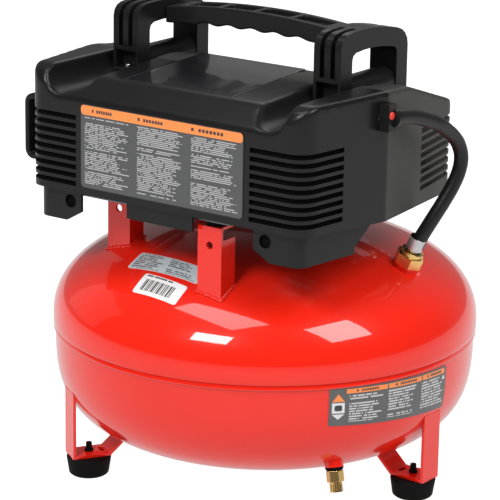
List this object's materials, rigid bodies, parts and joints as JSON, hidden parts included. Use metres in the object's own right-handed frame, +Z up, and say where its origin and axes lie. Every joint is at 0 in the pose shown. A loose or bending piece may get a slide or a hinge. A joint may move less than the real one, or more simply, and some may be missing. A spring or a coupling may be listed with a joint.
{
  "type": "pancake air compressor",
  "caption": "Portable air compressor: flat round red tank on rubber feet, black shroud over a belt-driven pump, carrying handle, gauges, regulator and quick couplers.",
  "frame": {"origin": "on the tank's axis, at the plane that the three rubber feet stand on", "axes": "+Z up; +Y towards the control panel with the gauges and couplers; +X towards the end with the discharge hose"},
  "size_m": [0.42, 0.42, 0.454],
  "materials": {
    "tank_paint": "high-gloss red enamel",
    "black_plastic": "fine-textured moulded black plastic",
    "handle_plastic": "semi-gloss moulded black plastic",
    "panel_plastic": "smooth glossy black plastic",
    "foot_rubber": "matt black rubber",
    "hose_rubber": "smooth black rubber",
    "brass": "machined brass",
    "plated_steel": "zinc-plated steel",
    "pressed_steel": "dark pressed steel",
    "cast_aluminium": "as-cast aluminium",
    "flywheel_iron": "painted cast iron",
    "belt_rubber": "ribbed belt rubber",
    "motor_steel": "laminated steel",
    "gauge_black": "black painted case with a printed dial",
    "lens_glass": "clear lens",
    "needle_white": "painted pointer",
    "lever_red": "red moulded lever",
    "fan_plastic": "black moulded fan"
  },
  "bodies": {
    "root": {"tank_upper_shell": "tank_paint", "tank_lower_shell": "tank_paint", "leg_right": "tank_paint", "leg_rear": "tank_paint", "leg_front": "tank_paint", "foot_right": "foot_rubber", "foot_rear": "foot_rubber", "foot_front": "foot_rubber", "mount_posts": "tank_paint", "tank_bungs": "tank_paint", "drain_valve": "brass", "check_valve": "brass", "hose_ferrule": "plated_steel", "discharge_hose": "hose_rubber", "hose_elbow": "handle_plastic", "head_outlet_pipe": "cast_aluminium", "tank_riser": "brass", "manifold": "cast_aluminium", "regulator_body": "cast_aluminium", "gauge_cases": "gauge_black", "gauge_lenses": "lens_glass", "coupler_bodies": "brass", "safety_valve": "brass", "pressure_switch": "black_plastic", "power_inlet_gland": "black_plastic", "rear_shroud": "black_plastic", "front_shroud": "black_plastic", "top_panel": "panel_plastic", "cord_wrap": "handle_plastic", "handle_left_frame": "handle_plastic", "handle_right_frame": "handle_plastic", "handle_grip": "handle_plastic", "handle_screws": "plated_steel", "pump_base": "pressed_steel", "isolators": "foot_rubber", "pump_bolts": "plated_steel", "crankcase": "cast_aluminium", "crank_bearings": "plated_steel", "cylinder": "cast_aluminium", "valve_plate": "pressed_steel", "cylinder_head": "cast_aluminium", "intake_filter": "black_plastic", "drive_belt": "belt_rubber", "motor_stator": "motor_steel", "motor_brackets": "cast_aluminium"},
    "crank": {"flywheel": "flywheel_iron"},
    "rod": {"connecting_rod": "cast_aluminium", "wrist_pin": "plated_steel"},
    "piston": {"piston": "cast_aluminium"},
    "rotor": {"motor_rotor": "motor_steel", "cooling_fan": "fan_plastic"},
    "drain_knob": {"drain_knob": "brass"},
    "regulator_knob": {"regulator_knob": "black_plastic"},
    "switch_lever": {"pressure_switch_lever": "lever_red"},
    "tank_needle": {"tank_gauge_needle": "needle_white"},
    "outlet_needle": {"outlet_gauge_needle": "needle_white"},
    "left_sleeve": {"coupler_left_sleeve": "plated_steel"},
    "right_sleeve": {"coupler_right_sleeve": "plated_steel"},
    "relief_ring": {"safety_valve_ring": "plated_steel"}
  },
  "joints": [
    {"name": "crank_spin", "type": "hinge", "parent": "root", "child": "crank", "pos_m": [0.02, -0.063, 0.337], "axis": [0, 1, 0], "continuous": true},
    {"name": "rod_pivot", "type": "hinge", "parent": "crank", "child": "rod", "pos_m": [0.028, -0.063, 0.337], "axis": [0, 1, 0], "continuous": true},
    {"name": "piston_slide", "type": "slide", "parent": "root", "child": "piston", "axis": [1, 0, 0], "range_m": [-0.016, 0]},
    {"name": "motor_spin", "type": "hinge", "parent": "root", "child": "rotor", "pos_m": [-0.078, -0.063, 0.337], "axis": [0, 1, 0], "continuous": true},
    {"name": "drain_turn", "type": "hinge", "parent": "root", "child": "drain_knob", "pos_m": [0.15093, -0.0999, 0.05298], "axis": [0.2577, -0.1706, -0.9511], "range_deg": [0, 540]},
    {"name": "regulator_turn", "type": "hinge", "parent": "root", "child": "regulator_knob", "pos_m": [0, 0.12, 0.326], "axis": [0, 1, 0], "range_deg": [0, 720]},
    {"name": "switch_throw", "type": "hinge", "parent": "root", "child": "switch_lever", "pos_m": [-0.102, 0.094, 0.343], "axis": [1, 0, 0], "range_deg": [0, 40]},
    {"name": "tank_needle_swing", "type": "hinge", "parent": "root", "child": "tank_needle", "pos_m": [-0.055, 0.108, 0.332], "axis": [0, -1, 0], "range_deg": [0, 270], "stiffness_Nm_per_rad": 0.0005, "springref_deg": -5.73},
    {"name": "outlet_needle_swing", "type": "hinge", "parent": "root", "child": "outlet_needle", "pos_m": [0.055, 0.108, 0.332], "axis": [0, -1, 0], "range_deg": [0, 270], "stiffness_Nm_per_rad": 0.0005, "springref_deg": -5.73},
    {"name": "left_sleeve_slide", "type": "slide", "parent": "root", "child": "left_sleeve", "axis": [0, 1, 0], "range_m": [-0.007, 0], "stiffness_N_per_m": 500, "springref_m": 0.003},
    {"name": "right_sleeve_slide", "type": "slide", "parent": "root", "child": "right_sleeve", "axis": [0, 1, 0], "range_m": [-0.007, 0], "stiffness_N_per_m": 500, "springref_m": 0.003},
    {"name": "relief_pull", "type": "slide", "parent": "root", "child": "relief_ring", "axis": [0, 1, 0], "range_m": [0, 0.003], "stiffness_N_per_m": 1500, "springref_m": -0.002}
  ],
  "couplings": [
    {"joint": "motor_spin", "follows": "crank_spin", "ratio": 5},
    {"joint": "rod_pivot", "follows": "crank_spin", "ratio": -1}
  ]
}
